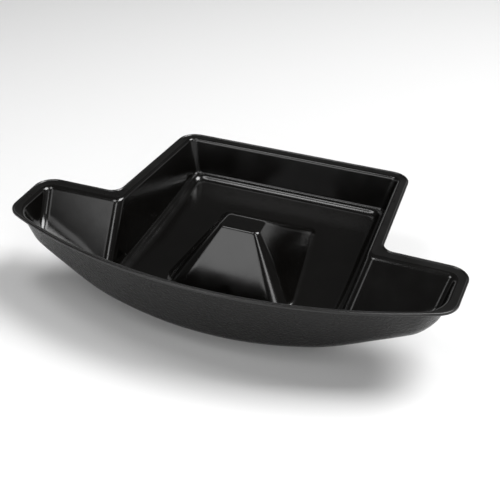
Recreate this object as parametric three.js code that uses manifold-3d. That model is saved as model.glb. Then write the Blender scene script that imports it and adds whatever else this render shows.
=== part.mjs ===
// T-shaped moulded drip pan with two wings, a centre pedestal and a drain fitting.
// Millimetres, +Z up. The shapes are worked out in a rim frame, with z = 0 on top of the rim and y = 0 on the
// rear edge of the wings, and the exported group moves them so that the origin is the middle of the base.
import * as THREE from 'three';
import { mergeVertices } from 'three/addons/utils/BufferGeometryUtils.js';
import Module from 'manifold-3d';

const wasm = await Module();
wasm.setup();

// Outline of the rim, right half
const BODY_BACK = 164.7;            // y of the back edge
const BODY_BACK_HALF = 136.64;      // half width of the body at its back edge
const BODY_ROOT_HALF = 142.66;      // half width of the body where the wings start
const WING_TIP = [230, -1.31];      // rear outer corner of a wing
const WING_NOSE = [226.7, -73.85];  // front outer corner of a wing
const FRONT_RADIUS = 481;
const FRONT_CENTRE_Y = 348.6;
const CORNER = { back: 21, notch: 12, tip: 20, nose: 25 };

// Sheet, flange and walls: each edge has a flange width and a draft (run per unit of depth)
const SHEET = 3;
const RIM_THICKNESS = 2.75;
const FLANGE = { side: 11.6, back: 11.8, front: 5.8, end: 11.6, rear: 14 };
const DRAFT = { side: 0.25, back: 0.2, front: 0.34, end: 0.25, rear: 1.0 };

// Depths below the rim
const FALL = { ledge: 0.093, floor: 0.105 };  // slopes towards the front
const LEDGE_DEPTH = 40.5;           // at LEDGE_Y
const LEDGE_Y = 144;
const LEDGE_WIDTH = 3;
const STEP = 4.2;                   // floor below ledge, at LEDGE_Y
const KEEL_DEPTH = 71.5;            // curved bottom under the front wall and the wings
const KEEL_CURVE = 1260;

// Centre pedestal
const TOP_DEPTH = 3.5;
const TOP = { half: 20.5, front: -16, back: 10.5 };
const PEDESTAL_DRAFT = { side: 0.75, front: 0.6, back: 1.6 };
const PEDESTAL_TAPER = 0.05;        // narrowing of the pedestal towards the back
const PEDESTAL_CORNER = 8;
const RIDGE_GROWTH = 0.22;          // the front ridges get rounder towards the floor

// Drain well in front of the pedestal, with the fitting on its flat bottom
const WELL = { y: -60, depth: 68.5, radius: 10.6, draft: 0.12, wall: 3, hole: 7.7 };
const FITTING = { flange: 9.3, flangeThickness: 1.6, tail: 7.3, bore: 5.6, tailLength: 22 };
const GASKET = { inner: 7.6, outer: 11.5, thickness: 2 };
const NUT = { acrossFlats: 24, thickness: 6, bore: 7.6 };
const GAP = 0.3;

// Fillet radii
const FILLET = {
  wall: 7, floor: 6, gutter: 15, ledge: 1.6, step: 2.5, mouth: 8, foot: 3, ridge: 5, backRidge: 3,
};
const GUTTER = { from: 105, to: 170 };  // half widths between which the floor fillet grows into the gutter

const CENTRE_Y = (BODY_BACK + FRONT_CENTRE_Y - FRONT_RADIUS) / 2;

// ---- plan geometry ----

// Straight edge from p to q, walked counter-clockwise: outward normal and offset
function edge(p, q) {
  const length = Math.hypot(q[0] - p[0], q[1] - p[1]);
  const nx = (q[1] - p[1]) / length;
  const ny = (p[0] - q[0]) / length;
  return { nx, ny, off: nx * p[0] + ny * p[1] };
}

const EDGES = {
  end: edge(WING_NOSE, WING_TIP),
  rear: edge(WING_TIP, [BODY_ROOT_HALF, 0]),
  side: edge([BODY_ROOT_HALF, 0], [BODY_BACK_HALF, BODY_BACK]),
  back: edge([BODY_BACK_HALF, BODY_BACK], [-BODY_BACK_HALF, BODY_BACK]),
};

function movedIn(name, inset) {
  const { nx, ny, off } = EDGES[name];
  return { nx, ny, off: off - inset };
}

function meet(a, b) {
  const det = a.nx * b.ny - a.ny * b.nx;
  return [(a.off * b.ny - b.off * a.ny) / det, (a.nx * b.off - b.nx * a.off) / det];
}

function arc(centre, radius, from, to, count) {
  let sweep = (to - from) % (2 * Math.PI);
  if (sweep > Math.PI) sweep -= 2 * Math.PI;
  if (sweep < -Math.PI) sweep += 2 * Math.PI;
  return Array.from({ length: count }, (_, i) => {
    const a = from + (sweep * i) / (count - 1);
    return [centre[0] + radius * Math.cos(a), centre[1] + radius * Math.sin(a)];
  });
}

// Fillet between two straight edges; sign is 1 at an outward corner and -1 at an inward one
function fillet(a, b, radius, sign, count) {
  const shift = (e) => ({ ...e, off: e.off - sign * radius });
  const from = Math.atan2(sign * a.ny, sign * a.nx);
  const to = Math.atan2(sign * b.ny, sign * b.nx);
  return arc(meet(shift(a), shift(b)), radius, from, to, count);
}

// Fillet between the curved front and a straight edge
function noseFillet(end, frontRadius, radius, count) {
  const along = [-end.ny, end.nx];
  const start = [end.nx * (end.off - radius), end.ny * (end.off - radius) - FRONT_CENTRE_Y];
  const b = start[0] * along[0] + start[1] * along[1];
  const c = start[0] ** 2 + start[1] ** 2 - (frontRadius - radius) ** 2;
  const s = -b - Math.sqrt(b * b - c);
  const centre = [start[0] + s * along[0], start[1] + s * along[1]];
  const from = Math.atan2(centre[1], centre[0]);
  const middle = [centre[0], centre[1] + FRONT_CENTRE_Y];
  return { points: arc(middle, radius, from, Math.atan2(end.ny, end.nx), count), from };
}

const COUNT = { front: 9, corner: 5, end: 2, rear: 3, side: 8, back: 5 };

function between(p, q, count) {
  return Array.from({ length: count }, (_, i) => {
    const t = (i + 1) / (count + 1);
    return [p[0] + (q[0] - p[0]) * t, p[1] + (q[1] - p[1]) * t];
  });
}

function frontArc(radius, to, count) {
  const points = arc([0, FRONT_CENTRE_Y], radius, -Math.PI / 2, to, count + 1);
  return points.slice(0, count);
}

// Whole ring from its right half, which runs from the middle of the front to the middle of the back
function mirrored(half) {
  const left = half.slice(1, -1).reverse().map(([x, y]) => [-x, y]);
  return [...half, ...left];
}

// T-shaped ring, each edge moved in by its own inset
function tRing(inset, radius) {
  const end = movedIn('end', inset.end);
  const rear = movedIn('rear', inset.rear);
  const side = movedIn('side', inset.side);
  const back = movedIn('back', inset.back);
  const nose = noseFillet(end, FRONT_RADIUS - inset.front, radius.nose, COUNT.corner);
  const tip = fillet(end, rear, radius.tip, 1, COUNT.corner);
  const notch = fillet(rear, side, radius.notch, -1, COUNT.corner);
  const corner = fillet(side, back, radius.back, 1, COUNT.corner);
  return mirrored([
    ...frontArc(FRONT_RADIUS - inset.front, nose.from, COUNT.front),
    ...nose.points,
    ...between(nose.points.at(-1), tip[0], COUNT.end),
    ...tip,
    ...between(tip.at(-1), notch[0], COUNT.rear),
    ...notch,
    ...between(notch.at(-1), corner[0], COUNT.side),
    ...corner,
    ...between(corner.at(-1), [0, corner.at(-1)[1]], COUNT.back),
    [0, corner.at(-1)[1]],
  ]);
}

// Four-sided ring with the same number of points: front, nose corner, long side, back corner, back
function boxRing({ half, front, back, bow, corner }) {
  const sidePoints = COUNT.end + COUNT.corner * 2 + COUNT.rear + COUNT.side;
  const at = (x) => front + bow * x * x;
  const nose = arc([half - corner, at(half - corner) + corner], corner, -Math.PI / 2, 0, COUNT.corner);
  const tail = arc([half - corner, back - corner], corner, 0, Math.PI / 2, COUNT.corner);
  const frontPoints = Array.from({ length: COUNT.front }, (_, i) => {
    const x = ((half - corner) * i) / COUNT.front;
    return [x, at(x)];
  });
  return mirrored([
    ...frontPoints,
    ...nose,
    ...between(nose.at(-1), tail[0], sidePoints),
    ...tail,
    ...between(tail.at(-1), [0, back], COUNT.back),
    [0, back],
  ]);
}

function blendRings(a, b, t) {
  return a.map((p, i) => [p[0] + (b[i][0] - p[0]) * t, p[1] + (b[i][1] - p[1]) * t]);
}

// ---- the hollow, as a distance that is positive inside it ----

// Both, with a rounded inside corner
function both(radius, ...gaps) {
  const rest = Math.hypot(...gaps.map((g) => Math.max(radius - g, 0)));
  return Math.max(radius, Math.min(...gaps)) - rest;
}

// Either, with a rounded outside corner
function either(radius, ...gaps) {
  return -both(radius, ...gaps.map((g) => -g));
}

function wallGap(name, x, y, depth) {
  const { nx, ny, off } = EDGES[name];
  return (off - nx * x - ny * y - FLANGE[name] - DRAFT[name] * depth) / Math.hypot(1, DRAFT[name]);
}

function frontGap(x, y, depth) {
  const reach = Math.hypot(x, y - FRONT_CENTRE_Y);
  return (FRONT_RADIUS - FLANGE.front - DRAFT.front * depth - reach) / Math.hypot(1, DRAFT.front);
}

function ledgeDepth(y) {
  return LEDGE_DEPTH + FALL.ledge * (LEDGE_Y - y);
}

function floorDepth(y) {
  return LEDGE_DEPTH + STEP + FALL.floor * (LEDGE_Y - y);
}

function keelGap(x, depth) {
  const slope = (2 * x) / KEEL_CURVE;
  return (KEEL_DEPTH - (x * x) / KEEL_CURVE - depth) / Math.hypot(1, slope);
}

// Sunk part of the floor: its sides fall at 45 degrees from the inner edge of the ledge
function pocketGap(x, y, depth) {
  const drop = depth - ledgeDepth(y);
  const side = wallGap('side', x, y, ledgeDepth(y)) - LEDGE_WIDTH - drop;
  const back = wallGap('back', x, y, ledgeDepth(y)) - LEDGE_WIDTH - drop;
  return both(FILLET.wall, side * Math.SQRT1_2, back * Math.SQRT1_2);
}

function bodyGap(x, y, depth) {
  const walls = both(FILLET.wall, wallGap('side', x, y, depth), wallGap('back', x, y, depth));
  const ledge = either(FILLET.ledge, ledgeDepth(y) - depth, pocketGap(x, y, depth));
  return both(FILLET.ledge, walls, both(FILLET.step, ledge, floorDepth(y) - depth));
}

function wingGap(x, y, depth) {
  return both(FILLET.wall, wallGap('rear', x, y, depth), wallGap('end', x, y, depth));
}

// Distance inside the pedestal, negative outside it
function pedestalGap(x, y, depth) {
  const down = depth - TOP_DEPTH;
  const half = TOP.half - PEDESTAL_TAPER * y + PEDESTAL_DRAFT.side * down;
  const side = (half - x) / Math.hypot(1, PEDESTAL_DRAFT.side);
  const front = (y - TOP.front + PEDESTAL_DRAFT.front * down) / Math.hypot(1, PEDESTAL_DRAFT.front);
  const back = (TOP.back + PEDESTAL_DRAFT.back * down - y) / Math.hypot(1, PEDESTAL_DRAFT.back);
  const ridge = FILLET.ridge + RIDGE_GROWTH * Math.max(down, 0);
  return both(1.5, down, both(FILLET.backRidge, both(ridge, side, front), back));
}

// Radius between walls and bottom, which grows from the body out to the wings
function gutterRadius(x) {
  const t = THREE.MathUtils.smoothstep(x, GUTTER.from, GUTTER.to);
  return THREE.MathUtils.lerp(FILLET.floor, FILLET.gutter, t);
}

function hollow(x, y, depth) {
  const ax = Math.abs(x);
  const plan = either(FILLET.mouth, bodyGap(ax, y, depth), wingGap(ax, y, depth));
  const bowl = both(gutterRadius(ax), plan, frontGap(ax, y, depth), keelGap(ax, depth));
  return both(FILLET.foot, bowl, -pedestalGap(ax, y, depth));
}

// ---- lofting ----

function solve(f, low, high) {
  let a = low;
  let b = high;
  for (let i = 0; i < 40; i++) {
    const middle = (a + b) / 2;
    if (f(middle) > 0) a = middle;
    else b = middle;
  }
  return (a + b) / 2;
}

// Ring at one depth, slid along its own inward normals on to the wall
function wallRing(ring, depth, level) {
  return ring.map(([x, y], i) => {
    const next = ring[(i + 1) % ring.length];
    const last = ring.at(i - 1);
    const length = Math.hypot(next[0] - last[0], next[1] - last[1]);
    const nx = (next[1] - last[1]) / length;
    const ny = (last[0] - next[0]) / length;
    const out = solve((s) => hollow(x + nx * s, y + ny * s, depth) - level, -12, 12);
    return [x + nx * out, y + ny * out, -depth];
  });
}

// Ring in plan, let down on to the surface
function droppedRing(ring, level) {
  return ring.map(([x, y]) => [x, y, -solve((d) => hollow(x, y, d) - level, -1, 90)]);
}

function wallInsets(depth) {
  const inset = {};
  for (const name of Object.keys(FLANGE)) inset[name] = FLANGE[name] + DRAFT[name] * depth;
  const keelHalf = Math.sqrt(KEEL_CURVE * (KEEL_DEPTH - depth));
  inset.end = Math.max(inset.end, WING_TIP[0] - keelHalf + 3);
  return inset;
}

const UPPER = [10, 20];
const LOWER = [26, 32, 38, 43, 47, 51, 55];
const LOWER_CORNER = { back: 8, notch: 12, tip: 5, nose: 6 };
const WALL_CORNER = { back: 9, notch: 9, tip: 8, nose: 10 };
const BASIN = { half: 104, front: -98, back: 126, bow: 0.5 / FRONT_RADIUS, corner: 10 };
const MORPH = [0.3, 0.55, 0.8, 1];
const PEDESTAL_LEVELS = [78, 66, 58, 50, 38, 22, 8, 4.2];

function pedestalRing(depth) {
  const down = depth - TOP_DEPTH;
  return boxRing({
    half: TOP.half + PEDESTAL_DRAFT.side * down,
    front: TOP.front - PEDESTAL_DRAFT.front * down,
    back: TOP.back + PEDESTAL_DRAFT.back * down * 0.98,
    bow: 0,
    corner: PEDESTAL_CORNER + 0.3 * down,
  });
}

// All rings of one face of the sheet below the rim, ending on top of the pedestal
function sheetRings(level, firstDepth) {
  const rings = [];
  for (const depth of [firstDepth, ...UPPER]) {
    rings.push(wallRing(tRing(wallInsets(depth), WALL_CORNER), depth, level));
  }
  for (const depth of LOWER) rings.push(droppedRing(tRing(wallInsets(depth), LOWER_CORNER), level));
  const lastT = tRing(wallInsets(LOWER.at(-1)), LOWER_CORNER);
  for (const t of MORPH) rings.push(droppedRing(blendRings(lastT, boxRing(BASIN), t), level));
  for (const depth of PEDESTAL_LEVELS) rings.push(droppedRing(pedestalRing(depth), level));
  return rings;
}

function flatRing(ring, z) {
  return ring.map(([x, y]) => [x, y, z]);
}

// Closed body from a run of rings, closed at both ends by a fan on the middle of the pedestal
function loftedBody(rings, firstCentre, lastCentre) {
  const count = rings[0].length;
  const positions = [...rings.flat(), firstCentre, lastCentre].flat();
  const index = [];
  for (let r = 0; r + 1 < rings.length; r++) {
    for (let i = 0; i < count; i++) {
      const j = (i + 1) % count;
      const a = r * count + i;
      const b = r * count + j;
      const c = (r + 1) * count + i;
      const d = (r + 1) * count + j;
      index.push(a, b, d, a, d, c);
    }
  }
  const first = rings.length * count;
  const last = (rings.length - 1) * count;
  for (let i = 0; i < count; i++) {
    const j = (i + 1) % count;
    index.push(first, j, i, first + 1, last + i, last + j);
  }
  const geometry = new THREE.BufferGeometry();
  geometry.setAttribute('position', new THREE.Float32BufferAttribute(positions, 3));
  geometry.setIndex(index);
  return geometry;
}

// ---- joining and cutting ----

function solid(geometry) {
  const bare = geometry.clone();
  bare.deleteAttribute('normal');
  bare.deleteAttribute('uv');
  const merged = mergeVertices(bare, 1e-4);
  return new wasm.Manifold(new wasm.Mesh({
    numProp: 3,
    vertProperties: new Float32Array(merged.attributes.position.array),
    triVerts: new Uint32Array(merged.index.array),
  }));
}

function geometryOf(manifold) {
  const mesh = manifold.getMesh();
  const geometry = new THREE.BufferGeometry();
  geometry.setAttribute('position', new THREE.BufferAttribute(new Float32Array(mesh.vertProperties), 3));
  geometry.setIndex(new THREE.BufferAttribute(new Uint32Array(mesh.triVerts), 1));
  return geometry;
}

// ---- pieces ----

const baseDepth = WELL.depth + SHEET + FITTING.tailLength;

// Places a geometry made about the drain axis, with its zero on the bottom of the well
function onDrain(geometry) {
  return geometry.translate(0, WELL.y, -WELL.depth);
}

function turned(profile, segments) {
  const points = [...profile, profile[0]].map(([r, z]) => new THREE.Vector2(r, z));
  return new THREE.LatheGeometry(points, segments).rotateX(Math.PI / 2);
}

// Upright cone or cylinder on the drain axis, between two heights
function plug(lowRadius, highRadius, low, high) {
  const geometry = new THREE.CylinderGeometry(highRadius, lowRadius, high - low, 48);
  return solid(onDrain(geometry.rotateX(Math.PI / 2).translate(0, 0, (low + high) / 2)));
}

function panGeometry() {
  const outer = tRing({ side: 0, back: 0, front: 0, end: 0, rear: 0 }, CORNER);
  const inside = sheetRings(0, 0);
  const outside = sheetRings(-SHEET, RIM_THICKNESS);
  const rings = [...outside.reverse(), flatRing(outer, -RIM_THICKNESS), flatRing(outer, 0), ...inside];
  const topMiddle = [0, (TOP.front + TOP.back) / 2];
  const body = loftedBody(rings, [...topMiddle, -TOP_DEPTH - SHEET], [...topMiddle, -TOP_DEPTH]);
  const lid = flatRing(inside[0], 2);
  const hollowBody = loftedBody([...inside.reverse(), lid], [...topMiddle, -TOP_DEPTH], [0, WELL.y, 2]);

  // The well's wall and bottom reach half a millimetre short of the sheet's upper face
  const shortened = solid(hollowBody.translate(0, 0, -0.5));
  const top = WELL.depth - TOP_DEPTH;
  const boss = plug(WELL.radius + WELL.wall, WELL.radius + WELL.wall, -SHEET, top).subtract(shortened);
  const well = plug(WELL.radius, WELL.radius + WELL.draft * top, 0, top);
  const hole = plug(WELL.hole, WELL.hole, -2 * SHEET, 2 * SHEET);
  return geometryOf(solid(body).add(boss).subtract(well).subtract(hole));
}

function fittingGeometry() {
  const bottom = -SHEET - FITTING.tailLength;
  return onDrain(turned([
    [FITTING.bore, bottom],
    [FITTING.tail, bottom],
    [FITTING.tail, GAP],
    [FITTING.flange, GAP],
    [FITTING.flange, FITTING.flangeThickness],
    [FITTING.bore + 1.6, FITTING.flangeThickness],
    [FITTING.bore, 0],
  ], 40));
}

function gasketGeometry() {
  const top = -SHEET - GAP;
  return onDrain(turned([
    [GASKET.inner, top - GASKET.thickness],
    [GASKET.outer, top - GASKET.thickness],
    [GASKET.outer, top],
    [GASKET.inner, top],
  ], 32));
}

function nutGeometry() {
  const shape = new THREE.Shape();
  for (let i = 0; i < 6; i++) {
    const a = ((i + 0.5) * Math.PI) / 3;
    const r = NUT.acrossFlats / 2 / Math.cos(Math.PI / 6);
    if (i === 0) shape.moveTo(r * Math.cos(a), r * Math.sin(a));
    else shape.lineTo(r * Math.cos(a), r * Math.sin(a));
  }
  const bore = new THREE.Path();
  bore.absarc(0, 0, NUT.bore, 0, 2 * Math.PI, true);
  shape.holes.push(bore);
  const bottom = -SHEET - 2 * GAP - GASKET.thickness - NUT.thickness;
  const settings = { depth: NUT.thickness, bevelEnabled: false, curveSegments: 32 };
  const geometry = new THREE.ExtrudeGeometry(shape, settings);
  return onDrain(geometry.translate(0, 0, bottom));
}

function mesh(name, geometry, color, roughness) {
  const material = new THREE.MeshStandardMaterial({ color, roughness, metalness: 0 });
  const piece = new THREE.Mesh(geometry, material);
  piece.name = name;
  return piece;
}

const dripPan = new THREE.Group();
dripPan.add(
  mesh('pan', panGeometry(), 0x0d0c0b, 0.25),
  mesh('drain_body', fittingGeometry(), 0x141312, 0.3),
  mesh('drain_gasket', gasketGeometry(), 0x1c1b1a, 0.8),
  mesh('drain_nut', nutGeometry(), 0x181716, 0.45),
);
dripPan.position.set(0, -CENTRE_Y, baseDepth);

export default dripPan;
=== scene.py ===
"""Black moulded drip pan with two wings, a centre pedestal and a drain fitting, in a plain pale studio."""
import math

import bpy
import numpy as np
from mathutils import Matrix, Vector


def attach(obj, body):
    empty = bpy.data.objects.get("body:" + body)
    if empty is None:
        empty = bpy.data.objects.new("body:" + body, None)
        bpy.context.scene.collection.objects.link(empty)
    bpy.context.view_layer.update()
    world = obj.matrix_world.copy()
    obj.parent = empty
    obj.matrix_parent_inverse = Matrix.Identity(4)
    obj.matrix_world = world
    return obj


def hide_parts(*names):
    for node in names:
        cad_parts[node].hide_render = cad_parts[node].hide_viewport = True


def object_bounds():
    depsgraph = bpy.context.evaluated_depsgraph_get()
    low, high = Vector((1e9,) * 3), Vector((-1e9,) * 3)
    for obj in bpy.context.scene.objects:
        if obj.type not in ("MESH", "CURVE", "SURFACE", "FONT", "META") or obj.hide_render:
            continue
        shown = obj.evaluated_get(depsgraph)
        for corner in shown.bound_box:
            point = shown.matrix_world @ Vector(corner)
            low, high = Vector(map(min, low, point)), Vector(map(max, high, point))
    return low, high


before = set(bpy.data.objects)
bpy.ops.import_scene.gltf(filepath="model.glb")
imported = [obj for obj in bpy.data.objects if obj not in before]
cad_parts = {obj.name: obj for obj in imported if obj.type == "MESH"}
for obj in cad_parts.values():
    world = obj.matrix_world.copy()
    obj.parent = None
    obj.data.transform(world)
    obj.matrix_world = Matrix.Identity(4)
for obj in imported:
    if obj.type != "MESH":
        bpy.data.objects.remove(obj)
CAD_BOX = [list(corner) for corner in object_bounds()]
MM = 0.001

# ---- driving dimensions in mm, in the rim frame: z = 0 on the rim, y = 0 on the wings' rear edge ----

BODY_BACK = 164.7
BODY_BACK_HALF = 136.64
BODY_ROOT_HALF = 142.66
WING_TIP = (230.0, -1.31)
WING_NOSE = (226.7, -73.85)
FRONT_RADIUS = 481.0
FRONT_CENTRE_Y = 348.6
CORNER = {"back": 21.0, "notch": 12.0, "tip": 20.0, "nose": 25.0}

SHEET = 3.0
RIM_THICKNESS = 2.75
LIP = {"rise": 0.9, "width": 2.9, "edge_radius": 1.0, "flat": 0.3}
INNER_RADIUS = 2.6                      # between the flange and the walls
FLANGE = {"side": 11.6, "back": 11.8, "front": 5.8, "end": 11.6, "rear": 14.0}
DRAFT = {"side": 0.25, "back": 0.2, "front": 0.34, "end": 0.25, "rear": 1.0}

FALL = {"ledge": 0.093, "floor": 0.105}
LEDGE_DEPTH = 40.5
LEDGE_Y = 144.0
LEDGE_WIDTH = 3.0
STEP = 4.2                              # from the ledge down to the floor at LEDGE_Y
KEEL_DEPTH = 71.5
KEEL_CURVE = 1260.0

TOP_DEPTH = 3.5
TOP = {"half": 20.5, "front": -16.0, "back": 10.5}
PEDESTAL_DRAFT = {"side": 0.75, "front": 0.6, "back": 1.6}
PEDESTAL_TAPER = 0.05                   # half width lost per mm towards the back
RIDGE_GROWTH = 0.22                     # radius that the front ridges gain per mm down
TOP_EDGE = 1.5

FILLET = {"wall": 7.0, "floor": 6.0, "ledge": 1.6, "step": 2.5, "mouth": 8.0, "foot": 3.0,
          "ridge": 5.0, "back_ridge": 3.0, "gutter": 15.0, "well": 2.0, "well_bottom": 1.0}
GUTTER = {"from": 105.0, "to": 170.0}   # half widths between which the bottom fillet grows

WELL = {"y": -60.0, "depth": 68.5, "radius": 10.6, "draft": 0.12}
DRAIN_HOLE = 7.7
FITTING = {"flange": 9.3, "flange_thickness": 1.6, "tail": 7.3, "bore": 5.6, "tail_length": 22.0}
GASKET = {"inner": 7.6, "outer": 11.5, "thickness": 2.0}
NUT = {"across_flats": 24.0, "thickness": 6.0, "bore": 7.6, "corner": 13.5, "face": 11.2}
GAP = 0.3

CENTRE_Y = (BODY_BACK + FRONT_CENTRE_Y - FRONT_RADIUS) / 2
RIM_HEIGHT = CAD_BOX[1][2] / MM


def placed(points):
    """Points in the rim frame, in millimetres, as metres in the part's frame."""
    return (np.asarray(points, float) + (0, -CENTRE_Y, RIM_HEIGHT)) * MM


# ---- plan geometry: rings that run counter-clockwise from the middle of the front ----

def edge(p, q):
    """Outward normal and offset of the straight edge from p to q."""
    d = np.subtract(q, p) / math.dist(p, q)
    normal = np.array((d[1], -d[0]))
    return normal, float(normal @ np.asarray(p, float))


EDGES = {
    "end": edge(WING_NOSE, WING_TIP),
    "rear": edge(WING_TIP, (BODY_ROOT_HALF, 0)),
    "side": edge((BODY_ROOT_HALF, 0), (BODY_BACK_HALF, BODY_BACK)),
    "back": edge((BODY_BACK_HALF, BODY_BACK), (-BODY_BACK_HALF, BODY_BACK)),
}


def arc(centre, radius, start, stop, count):
    """Points on the shorter way round from one angle to another."""
    sweep = (stop - start + math.pi) % math.tau - math.pi
    a = start + sweep * np.linspace(0, 1, count)
    return np.asarray(centre) + radius * np.stack((np.cos(a), np.sin(a)), 1)


def fillet(a, b, radius, sign, count):
    """Arc between two straight edges; sign is 1 at an outward corner and -1 at an inward one."""
    normals = np.array((a[0], b[0]))
    centre = np.linalg.solve(normals, (a[1] - sign * radius, b[1] - sign * radius))
    angles = [math.atan2(sign * n[1], sign * n[0]) for n in normals]
    return arc(centre, radius, *angles, count)


def nose_fillet(end, front_radius, radius, count):
    """Arc between the curved front and a wing's end."""
    normal, off = end
    along = np.array((-normal[1], normal[0]))
    start = normal * (off - radius) - (0, FRONT_CENTRE_Y)
    b = start @ along
    c = start @ start - (front_radius - radius) ** 2
    centre = start + along * (-b - math.sqrt(b * b - c))
    angle = math.atan2(centre[1], centre[0])
    points = arc(centre + (0, FRONT_CENTRE_Y), radius, angle, math.atan2(normal[1], normal[0]), count)
    return points, angle


def between(p, q, count):
    """Evenly spaced points between two others, without them."""
    t = (np.arange(count) + 1)[:, None] / (count + 1)
    return np.asarray(p) * (1 - t) + np.asarray(q) * t


def mirrored(half):
    """Whole ring from its right half, which starts and ends on the middle plane."""
    return np.concatenate((half, half[-2:0:-1] * (-1, 1)))


COUNT = {"front": 76, "corner": 15, "end": 16, "rear": 22, "side": 48, "back": 40}


def t_ring(inset, radius):
    """T-shaped ring with each edge moved in by its own inset."""
    moved = {name: (EDGES[name][0], EDGES[name][1] - inset[name]) for name in EDGES}
    n = COUNT["corner"]
    front_radius = FRONT_RADIUS - inset["front"]
    nose, angle = nose_fillet(moved["end"], front_radius, radius["nose"], n)
    tip = fillet(moved["end"], moved["rear"], radius["tip"], 1, n)
    notch = fillet(moved["rear"], moved["side"], radius["notch"], -1, n)
    corner = fillet(moved["side"], moved["back"], radius["back"], 1, n)
    middle = np.array((0, corner[-1][1]))
    half = np.concatenate((
        arc((0, FRONT_CENTRE_Y), front_radius, -math.pi / 2, angle, COUNT["front"] + 1)[:-1],
        nose, between(nose[-1], tip[0], COUNT["end"]),
        tip, between(tip[-1], notch[0], COUNT["rear"]),
        notch, between(notch[-1], corner[0], COUNT["side"]),
        corner, between(corner[-1], middle, COUNT["back"]), [middle],
    ))
    return mirrored(half)


def box_ring(half, front, back, corner, bow=0.0):
    """Four-sided ring with as many points as a T-shaped one."""
    side_points = COUNT["end"] + 2 * COUNT["corner"] + COUNT["rear"] + COUNT["side"]
    flat = half - corner
    x = flat * np.arange(COUNT["front"]) / COUNT["front"]
    nose = arc((flat, front + bow * flat ** 2 + corner), corner, -math.pi / 2, 0, COUNT["corner"])
    tail = arc((flat, back - corner), corner, 0, math.pi / 2, COUNT["corner"])
    right = np.concatenate((
        np.stack((x, front + bow * x ** 2), 1), nose, between(nose[-1], tail[0], side_points),
        tail, between(tail[-1], (0, back), COUNT["back"]), [(0, back)],
    ))
    return mirrored(right)


# ---- the hollow, as a distance that is positive inside it ----

def both(radius, *gaps):
    """Inside all of the gaps, with a fillet of this radius where they meet."""
    rest = np.sqrt(sum(np.maximum(radius - g, 0) ** 2 for g in gaps))
    return np.maximum(radius, np.minimum.reduce(np.broadcast_arrays(*gaps))) - rest


def either(radius, *gaps):
    """Inside any of the gaps, with a round of this radius where they meet."""
    return -both(radius, *(-g for g in gaps))


def wall_gap(name, x, y, depth):
    normal, off = EDGES[name]
    reach = off - normal[0] * x - normal[1] * y - FLANGE[name] - DRAFT[name] * depth
    return reach / math.hypot(1, DRAFT[name])


def front_gap(x, y, depth):
    reach = FRONT_RADIUS - FLANGE["front"] - DRAFT["front"] * depth - np.hypot(x, y - FRONT_CENTRE_Y)
    return reach / math.hypot(1, DRAFT["front"])


def ledge_depth(y):
    return LEDGE_DEPTH + FALL["ledge"] * (LEDGE_Y - y)


def floor_depth(y):
    return LEDGE_DEPTH + STEP + FALL["floor"] * (LEDGE_Y - y)


def keel_gap(x, depth):
    """Distance above the bottom line of the front, a parabola that rises towards the wings."""
    return (KEEL_DEPTH - x * x / KEEL_CURVE - depth) / np.hypot(1, 2 * x / KEEL_CURVE)


def pocket_gap(x, y, depth):
    """Sunk part of the floor, whose sides fall at 45 degrees from the inner edge of the ledge."""
    ledge = ledge_depth(y)
    side = wall_gap("side", x, y, ledge) - LEDGE_WIDTH - (depth - ledge)
    back = wall_gap("back", x, y, ledge) - LEDGE_WIDTH - (depth - ledge)
    return both(FILLET["wall"], side * math.sqrt(0.5), back * math.sqrt(0.5))


def body_gap(x, y, depth):
    walls = both(FILLET["wall"], wall_gap("side", x, y, depth), wall_gap("back", x, y, depth))
    ledge = either(FILLET["ledge"], ledge_depth(y) - depth, pocket_gap(x, y, depth))
    return both(FILLET["ledge"], walls, both(FILLET["step"], ledge, floor_depth(y) - depth))


def wing_gap(x, y, depth):
    return both(FILLET["wall"], wall_gap("rear", x, y, depth), wall_gap("end", x, y, depth))


def pedestal_gap(x, y, depth):
    down = depth - TOP_DEPTH
    reach = TOP["half"] - PEDESTAL_TAPER * y + PEDESTAL_DRAFT["side"] * down
    side = (reach - x) / math.hypot(1, PEDESTAL_DRAFT["side"])
    front = (y - TOP["front"] + PEDESTAL_DRAFT["front"] * down) / math.hypot(1, PEDESTAL_DRAFT["front"])
    back = (TOP["back"] + PEDESTAL_DRAFT["back"] * down - y) / math.hypot(1, PEDESTAL_DRAFT["back"])
    ridge = FILLET["ridge"] + RIDGE_GROWTH * np.maximum(down, 0)
    return both(TOP_EDGE, down, both(FILLET["back_ridge"], both(ridge, side, front), back))


def well_gap(x, y, depth):
    reach = WELL["radius"] + WELL["draft"] * (WELL["depth"] - depth) - np.hypot(x, y - WELL["y"])
    return both(FILLET["well_bottom"], reach, WELL["depth"] - depth)


def gutter_radius(x):
    """Radius between walls and bottom, which grows from the body out to the wings."""
    t = np.clip((x - GUTTER["from"]) / (GUTTER["to"] - GUTTER["from"]), 0, 1)
    return FILLET["floor"] + (FILLET["gutter"] - FILLET["floor"]) * t * t * (3 - 2 * t)


def hollow(x, y, depth):
    """Distance into the hollow that the pan holds, negative outside it."""
    x = np.abs(x)
    plan = either(FILLET["mouth"], body_gap(x, y, depth), wing_gap(x, y, depth))
    bowl = both(gutter_radius(x), plan, front_gap(x, y, depth), keel_gap(x, depth))
    floor = both(FILLET["foot"], bowl, -pedestal_gap(x, y, depth))
    return either(FILLET["well"], floor, well_gap(x, y, depth))


# ---- lofting ----

HALVINGS = 34


def solve(f, low, high, size):
    """Root of each element of f, which is positive at low and negative at high."""
    a = np.full(size, float(low))
    b = np.full(size, float(high))
    for _ in range(HALVINGS):
        middle = (a + b) / 2
        inside = f(middle) > 0
        a = np.where(inside, middle, a)
        b = np.where(inside, b, middle)
    return (a + b) / 2


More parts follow.
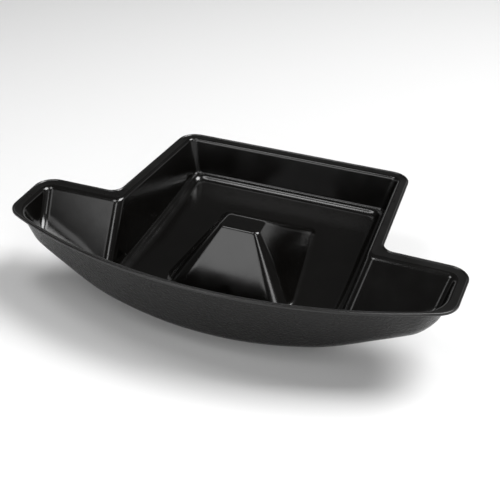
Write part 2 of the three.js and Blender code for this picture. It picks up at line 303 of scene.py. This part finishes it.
def outward(ring):
    """Unit normals of a ring, pointing out of it."""
    tangent = np.roll(ring, -1, 0) - np.roll(ring, 1, 0)
    normal = np.stack((tangent[:, 1], -tangent[:, 0]), 1)
    return normal / np.linalg.norm(normal, axis=1, keepdims=True)


def at_height(ring, z):
    return np.column_stack((ring, np.full(len(ring), z)))


SLIDE = 14                              # furthest that a ring slides, in mm


def wall_ring(ring, depth, level):
    """Ring at one depth, slid along its normals on to the wall."""
    n = outward(ring)
    out = solve(lambda s: hollow(ring[:, 0] + n[:, 0] * s, ring[:, 1] + n[:, 1] * s, depth) - level,
                -SLIDE, SLIDE, len(ring))
    return at_height(ring + n * out[:, None], -depth)


DEPTHS = (-1, 90)                       # range of depths in which the surface lies


def dropped_ring(ring, level):
    """Ring in plan, let down on to the surface."""
    depth = solve(lambda d: hollow(ring[:, 0], ring[:, 1], d) - level, *DEPTHS, len(ring))
    return np.column_stack((ring, -depth))


KEEL_MARGIN = 3                         # of the rings inside the bottom line, in mm


def wall_insets(depth):
    """Inset of each edge at a depth; the wings' ends also stay inside the bottom line."""
    inset = {name: FLANGE[name] + DRAFT[name] * depth for name in FLANGE}
    keel_half = math.sqrt(KEEL_CURVE * (KEEL_DEPTH - depth))
    inset["end"] = max(inset["end"], WING_TIP[0] - keel_half + KEEL_MARGIN)
    return inset


WALL_CORNER = {"back": 9.0, "notch": 9.0, "tip": 8.0, "nose": 10.0}
LOWER_CORNER = {"back": 8.0, "notch": 12.0, "tip": 5.0, "nose": 6.0}
LAST_WALL = 20.0                        # depth down to which the rings lie flat
LAST_T = 55.0                           # depth whose insets the last T-shaped ring has
BASIN = box_ring(half=104, front=-98, back=126, corner=10, bow=0.5 / FRONT_RADIUS)
FOOT_DEPTH = 74.0
RING_COUNT = {"t": 26, "basin": 30, "floor": 24, "climb": 55}
CLIMB_EASE = 1.4                        # packs the pedestal's rings towards its top
TOP_RINGS = (0.96, 0.92, 0.87, 0.8, 0.65, 0.4, 0.15)


def fractions(count):
    """Fractions of the way, from the first step to the whole."""
    return np.linspace(0, 1, count + 1)[1:]


def pedestal_ring(depth):
    down = depth - TOP_DEPTH
    return box_ring(
        half=TOP["half"] + PEDESTAL_DRAFT["side"] * down,
        front=TOP["front"] - PEDESTAL_DRAFT["front"] * down,
        back=TOP["back"] + PEDESTAL_DRAFT["back"] * down * 0.98,
        corner=8 + 0.3 * down,
    )


def sheet_rings(level, depths):
    """One face of the sheet, from the rim down the walls, across the floor and up the pedestal."""
    rings = [wall_ring(t_ring(wall_insets(d), WALL_CORNER), d, level) for d in depths]
    for t in fractions(RING_COUNT["t"]):
        radius = {k: WALL_CORNER[k] + (LOWER_CORNER[k] - WALL_CORNER[k]) * t for k in WALL_CORNER}
        inset = wall_insets(LAST_WALL + (LAST_T - LAST_WALL) * t)
        rings.append(dropped_ring(t_ring(inset, radius), level))
    last_t = t_ring(wall_insets(LAST_T), LOWER_CORNER)
    for t in fractions(RING_COUNT["basin"]):
        rings.append(dropped_ring(last_t + (BASIN - last_t) * t, level))
    foot = pedestal_ring(FOOT_DEPTH)
    for t in fractions(RING_COUNT["floor"]):
        rings.append(dropped_ring(BASIN + (foot - BASIN) * t, level))
    for left in np.linspace(1, 0, RING_COUNT["climb"] + 1)[1:]:
        depth = TOP_DEPTH + (FOOT_DEPTH - TOP_DEPTH) * left ** CLIMB_EASE
        rings.append(dropped_ring(pedestal_ring(depth), level))
    middle = np.array((0, (TOP["front"] + TOP["back"]) / 2))
    top = pedestal_ring(TOP_DEPTH)
    for t in TOP_RINGS:
        rings.append(dropped_ring(middle + (top - middle) * t, level))
    return rings


def rim_rings():
    """Rim from its lower outer edge over the raised lip and the flange to the start of the inner fillet."""
    zero = {name: 0.0 for name in FLANGE}
    outer = t_ring(zero, CORNER)
    inner = wall_ring(t_ring(wall_insets(0), WALL_CORNER), 0, 0)[:, :2]
    width = np.linalg.norm(inner - outer, axis=1, keepdims=True)
    n = -outward(outer)
    across = (inner - outer) / width
    rings = []

    def add(distance, z):
        blend = np.clip(distance / (width * 0.9), 0, 1)
        direction = n * (1 - blend) + across * blend
        rings.append(at_height(outer + direction * distance, z))

    edge_radius = LIP["edge_radius"]
    crest = edge_radius + LIP["flat"]
    add(0.5, -RIM_THICKNESS)
    add(0.15, -RIM_THICKNESS + 0.15)
    add(0.0, -RIM_THICKNESS + 0.5)
    for a in np.linspace(0, math.pi / 2, 5):
        add(edge_radius * (1 - math.cos(a)), -edge_radius * (1 - math.sin(a)))
    for t in fractions(6):
        fall = LIP["rise"] * (0.5 - 0.5 * math.cos(math.pi * t))
        add(crest + (LIP["width"] - crest) * t, -fall)
    return rings


def inner_edge_rings():
    """Fillet between the flange's upper face and the wall."""
    rings = []
    for a in np.linspace(math.pi / 2, 0, 7):
        depth = LIP["rise"] + INNER_RADIUS * (1 - math.sin(a))
        level = -INNER_RADIUS * (1 - math.cos(a))
        rings.append(wall_ring(t_ring(wall_insets(depth), WALL_CORNER), depth, level))
    return rings


def mesh_object(name, vertices, faces, material_index, materials):
    mesh = bpy.data.meshes.new(name)
    mesh.from_pydata(placed(vertices).tolist(), [], faces)
    for material in materials:
        mesh.materials.append(material)
    mesh.polygons.foreach_set("material_index", material_index)
    mesh.polygons.foreach_set("use_smooth", [True] * len(mesh.polygons))
    mesh.update()
    piece = bpy.data.objects.new(name, mesh)
    bpy.context.collection.objects.link(piece)
    return piece


def lofted(name, groups, materials):
    """Closed mesh through groups of rings; each group has its own material."""
    rings = [ring for group in groups for ring in group]
    count = len(rings[0])
    vertices = np.concatenate(rings + [rings[0].mean(0, keepdims=True), rings[-1].mean(0, keepdims=True)])
    i = np.arange(count)
    j = (i + 1) % count
    faces = []
    slots = []
    for g, group in enumerate(groups):
        first = sum(len(other) for other in groups[:g])
        for r in range(first, min(first + len(group), len(rings) - 1)):
            a, b = r * count + i, r * count + j
            faces += np.stack((a, b, b + count, a + count), 1).tolist()
            slots += [g] * count
    first, last = len(rings) * count, (len(rings) - 1) * count
    faces += [(first, q, p) for p, q in zip(i.tolist(), j.tolist())]
    faces += [(first + 1, last + p, last + q) for p, q in zip(i.tolist(), j.tolist())]
    slots += [0] * count + [len(groups) - 1] * count
    return mesh_object(name, vertices, faces, slots, materials)


def make_pan(inside, flange, outside):
    under = sheet_rings(-SHEET, np.linspace(RIM_THICKNESS, LAST_WALL, 12))[::-1]
    walls = sheet_rings(0.0, np.linspace(LIP["rise"] + INNER_RADIUS, LAST_WALL, 14)[1:])
    groups = [under, rim_rings(), inner_edge_rings() + walls]
    return lofted("pan_shell", groups, [outside, flange, inside])


# ---- drain fitting ----

SEGMENTS = 96


def drain_piece(name, vertices, faces, material):
    """Mesh in millimetres from the middle of the well's flat bottom."""
    mesh = bpy.data.meshes.new(name)
    mesh.from_pydata(vertices, [], faces)
    origin = placed([(0, WELL["y"], -WELL["depth"])])[0]
    mesh.transform(Matrix.Translation(Vector(origin)) @ Matrix.Scale(MM, 4))
    mesh.materials.append(material)
    piece = bpy.data.objects.new(name, mesh)
    bpy.context.collection.objects.link(piece)
    return piece


def rounded(profile, radius):
    """Closed profile with each corner rounded by a small curve of four points."""
    points = [np.array(p, float) for p in profile]
    result = []
    for i, p in enumerate(points):
        back, ahead = points[i - 1] - p, points[(i + 1) % len(points)] - p
        r = min(radius, np.linalg.norm(back) * 0.45, np.linalg.norm(ahead) * 0.45)
        a = p + back / np.linalg.norm(back) * r
        b = p + ahead / np.linalg.norm(ahead) * r
        for t in np.linspace(0, 1, 4):
            result.append(a * (1 - t) ** 2 + p * 2 * t * (1 - t) + b * t * t)
    return result


def turned(name, profile, material, segments=SEGMENTS):
    """Solid of revolution about the drain's axis from a closed profile of (radius, height)."""
    count = len(profile)
    vertices = [(r * math.cos(a), r * math.sin(a), z)
                for a in np.linspace(0, math.tau, segments, endpoint=False) for r, z in profile]
    faces = []
    for s in range(segments):
        t = (s + 1) % segments
        for k in range(count):
            m = (k + 1) % count
            faces.append((s * count + k, t * count + k, t * count + m, s * count + m))
    piece = drain_piece(name, vertices, faces, material)
    piece.data.polygons.foreach_set("use_smooth", [True] * len(faces))
    return piece


def thread_profile(radius, low, high, pitch, depth):
    """Ridges of a thread along a tail, from its lower to its upper end."""
    turns = int((high - low) / pitch)
    points = []
    for k in range(turns):
        z = low + k * pitch
        points += [(radius - depth, z), (radius, z + pitch * 0.35), (radius, z + pitch * 0.6)]
    return points


def make_drain_body(material):
    f = FITTING
    bottom = -SHEET - f["tail_length"]
    profile = [(f["bore"], bottom), (f["tail"] - 0.6, bottom)]
    profile += thread_profile(f["tail"], bottom + 1.2, -SHEET, 2.0, 0.55)
    profile += rounded([
        (f["tail"], GAP), (f["flange"], GAP), (f["flange"], f["flange_thickness"]),
        (f["bore"] + 1.6, f["flange_thickness"]), (f["bore"], -1),
    ], 0.7)
    return turned("drain_fitting", profile, material)


def make_gasket(material):
    top = -SHEET - GAP
    low = top - GASKET["thickness"]
    inner, outer = GASKET["inner"], GASKET["outer"]
    corners = [(inner, low), (outer, low), (outer, top), (inner, top)]
    return turned("drain_washer", rounded(corners, 0.5), material)


def make_nut(material):
    """Hexagonal lock nut with chamfered corners; its sides follow the hexagon and its bore is round."""
    top = -SHEET - 2 * GAP - GASKET["thickness"]
    low = top - NUT["thickness"]
    bore, face = NUT["bore"], NUT["face"]
    chamfer, fall = 0.6, 0.8
    profile = [
        (bore, low + chamfer), (bore + chamfer, low), (face, low),
        ("hexagon", low + fall), ("hexagon", top - fall),
        (face, top), (bore + chamfer, top), (bore, top - chamfer),
    ]
    sixth = math.pi / 3
    vertices = []
    for r, z in profile:
        for a in np.linspace(0, math.tau, SEGMENTS, endpoint=False):
            side = NUT["across_flats"] / 2 / math.cos(a % sixth - sixth / 2)
            radius = min(side, NUT["corner"]) if r == "hexagon" else r
            vertices.append((radius * math.cos(a + sixth / 2), radius * math.sin(a + sixth / 2), z))
    faces = []
    for k in range(len(profile)):
        low_ring, high_ring = k * SEGMENTS, (k + 1) % len(profile) * SEGMENTS
        for s in range(SEGMENTS):
            t = (s + 1) % SEGMENTS
            faces.append((low_ring + s, low_ring + t, high_ring + t, high_ring + s))
    piece = drain_piece("lock_nut", vertices, faces, material)
    bevel = piece.modifiers.new("edges", "BEVEL")
    bevel.width = 0.25 * MM
    bevel.segments = 2
    return piece


def cut_hole(pan):
    """Drills the pan for the drain tail."""
    core, reach = 0.001, 12
    profile = [(core, -reach), (DRAIN_HOLE, -reach), (DRAIN_HOLE, reach), (core, reach)]
    drill = turned("drill", profile, pan.data.materials[0], 64)
    cut = pan.modifiers.new("hole", "BOOLEAN")
    cut.operation = "DIFFERENCE"
    cut.solver = "EXACT"
    cut.object = drill
    bpy.context.view_layer.objects.active = pan
    bpy.ops.object.modifier_apply(modifier="hole")
    bpy.data.objects.remove(drill)


# ---- materials ----

def plastic(name, colour, roughness, roughness_change, grain, specular=0.5):
    """Moulded plastic; grain is its bumps' (scale per metre, strength, height in metres)."""
    material = bpy.data.materials.new(name)
    material.use_nodes = True
    nodes, links = material.node_tree.nodes, material.node_tree.links
    shader = nodes["Principled BSDF"]
    shader.inputs["Specular IOR Level"].default_value = specular
    shader.inputs["IOR"].default_value = 1.5
    where = nodes.new("ShaderNodeTexCoord").outputs["Object"]

    cloud = nodes.new("ShaderNodeTexNoise")
    cloud.inputs["Scale"].default_value = 14
    cloud.inputs["Detail"].default_value = 5
    links.new(where, cloud.inputs["Vector"])
    tint = nodes.new("ShaderNodeValToRGB")
    tint.color_ramp.elements[0].position = 0.35
    tint.color_ramp.elements[0].color = [c * 0.8 for c in colour] + [1]
    tint.color_ramp.elements[1].position = 0.7
    tint.color_ramp.elements[1].color = [c * 1.25 for c in colour] + [1]
    links.new(cloud.outputs["Fac"], tint.inputs["Fac"])
    links.new(tint.outputs["Color"], shader.inputs["Base Color"])

    smudge = nodes.new("ShaderNodeTexNoise")
    smudge.inputs["Scale"].default_value = 45
    smudge.inputs["Detail"].default_value = 6
    links.new(where, smudge.inputs["Vector"])
    rough = nodes.new("ShaderNodeMapRange")
    rough.inputs["From Min"].default_value = 0.3
    rough.inputs["From Max"].default_value = 0.7
    rough.inputs["To Min"].default_value = roughness - roughness_change
    rough.inputs["To Max"].default_value = roughness + roughness_change
    links.new(smudge.outputs["Fac"], rough.inputs["Value"])
    links.new(rough.outputs["Result"], shader.inputs["Roughness"])

    scale, strength, height = grain
    pattern = nodes.new("ShaderNodeTexNoise")
    pattern.inputs["Detail"].default_value = 3
    pattern.inputs["Scale"].default_value = scale
    links.new(where, pattern.inputs["Vector"])
    bump = nodes.new("ShaderNodeBump")
    bump.inputs["Strength"].default_value = strength
    bump.inputs["Distance"].default_value = height
    links.new(pattern.outputs["Fac"], bump.inputs["Height"])
    links.new(bump.outputs["Normal"], shader.inputs["Normal"])
    return material


BLACK = (0.0018, 0.0016, 0.0014)
FITTING_BLACK = (0.008, 0.0075, 0.007)
RUBBER_BLACK = (0.012, 0.012, 0.012)
NUT_BLACK = (0.01, 0.0095, 0.009)


def make_materials():
    return {
        "inside": plastic("pan_inside", BLACK, 0.17, 0.03, (90, 0.05, 0.0006)),
        "flange": plastic("pan_flange", BLACK, 0.3, 0.04, (600, 0.12, 0.0003)),
        "outside": plastic("pan_grain", BLACK, 0.27, 0.05, (420, 1.0, 0.0006), specular=0.25),
        "fitting": plastic("drain_plastic", FITTING_BLACK, 0.28, 0.05, (700, 0.1, 0.0002)),
        "washer": plastic("gasket_rubber", RUBBER_BLACK, 0.75, 0.1, (1800, 0.3, 0.0002)),
        "nut": plastic("nut_plastic", NUT_BLACK, 0.45, 0.08, (1200, 0.25, 0.0002)),
    }


# ---- camera, lights and floor ----

CAMERA = {"place": (261.68, -712.47, 448.29), "yaw": 19.605, "pitch": 32.603, "roll": -2.033}
FOCAL_IN_WIDTHS = 1.74904


def make_camera():
    yaw, pitch, roll = (math.radians(CAMERA[k]) for k in ("yaw", "pitch", "roll"))
    forward = Vector((-math.sin(yaw) * math.cos(pitch), math.cos(yaw) * math.cos(pitch), -math.sin(pitch)))
    level = Vector((math.cos(yaw), math.sin(yaw), 0))
    down = forward.cross(level)
    right = level * math.cos(roll) + down * math.sin(roll)
    up = level * math.sin(roll) - down * math.cos(roll)
    data = bpy.data.cameras.new("camera")
    data.sensor_width = 36
    data.lens = FOCAL_IN_WIDTHS * data.sensor_width
    data.clip_start = 0.01
    camera = bpy.data.objects.new("camera", data)
    turn = Matrix((right, up, -forward)).transposed().to_4x4()
    camera.matrix_world = Matrix.Translation(Vector(placed([CAMERA["place"]])[0])) @ turn
    bpy.context.collection.objects.link(camera)
    bpy.context.scene.camera = camera


def softbox(name, target, direction, distance, size, power):
    """Rectangular area light, in metres and watts, that looks at the target from a direction."""
    data = bpy.data.lights.new(name, "AREA")
    data.shape = "RECTANGLE"
    data.size, data.size_y = size
    data.energy = power
    light = bpy.data.objects.new(name, data)
    away = Vector(direction).normalized()
    light.location = Vector(target) + away * distance
    light.rotation_euler = away.to_track_quat("Z", "Y").to_euler()
    bpy.context.collection.objects.link(light)


def make_floor():
    mesh = bpy.data.meshes.new("floor")
    reach = 6.0
    corners = [(-reach, -reach, 0), (reach, -reach, 0), (reach, reach, 0), (-reach, reach, 0)]
    mesh.from_pydata(corners, [], [(0, 1, 2, 3)])
    floor = bpy.data.objects.new("floor", mesh)
    bpy.context.collection.objects.link(floor)
    material = bpy.data.materials.new("pale_floor")
    material.use_nodes = True
    shader = material.node_tree.nodes["Principled BSDF"]
    shader.inputs["Base Color"].default_value = (0.7, 0.7, 0.7, 1)
    shader.inputs["Roughness"].default_value = 0.9
    shader.inputs["Specular IOR Level"].default_value = 0.1
    mesh.materials.append(material)


def make_world():
    """Bright near the horizon, dim above it."""
    world = bpy.data.worlds.new("studio")
    world.use_nodes = True
    nodes, links = world.node_tree.nodes, world.node_tree.links
    where = nodes.new("ShaderNodeTexCoord").outputs["Generated"]
    split = nodes.new("ShaderNodeSeparateXYZ")
    links.new(where, split.inputs["Vector"])
    ramp = nodes.new("ShaderNodeValToRGB")
    for stop, height, level in zip(ramp.color_ramp.elements, (0.1, 0.3), (0.9, 0.09)):
        stop.position = height
        stop.color = (level, level, level, 1)
    links.new(split.outputs["Z"], ramp.inputs["Fac"])
    background = nodes["Background"]
    links.new(ramp.outputs["Color"], background.inputs["Color"])
    background.inputs["Strength"].default_value = 1.0
    bpy.context.scene.world = world


def make_lights():
    """Main light from the right back; the others are seen as highlights on the sheet."""
    middle = (0, 0, 0.06)
    softbox("main", middle, (0.42, 0.24, 0.87), 2.6, (1.3, 1.3), 84)
    softbox("overhead", (-0.32, -0.2, 0.06), (0, 0, 1), 1.2, (0.46, 0.35), 3.6)
    softbox("front", middle, (-0.32, -0.88, 0.34), 1.6, (1.0, 0.9), 8.2)
    softbox("left", middle, (-0.41, -0.47, 0.78), 1.6, (0.4, 0.4), 1.0)
    softbox("ridge", middle, (0.47, -0.62, 0.63), 1.6, (0.32, 1.3), 7)


def main():
    make_camera()
    looks = make_materials()
    pan = make_pan(looks["inside"], looks["flange"], looks["outside"])
    cut_hole(pan)
    pieces = [
        (pan, "pan", "pan_plastic"),
        (make_drain_body(looks["fitting"]), "drain_body", "fitting_plastic"),
        (make_gasket(looks["washer"]), "drain_gasket", "gasket_rubber"),
        (make_nut(looks["nut"]), "drain_nut", "nut_plastic"),
    ]
    for piece, node, slot in pieces:
        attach(piece, "root")
        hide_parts(node)
    make_floor()
    make_world()
    make_lights()
    bpy.context.scene.view_settings.view_transform = "Standard"


main()
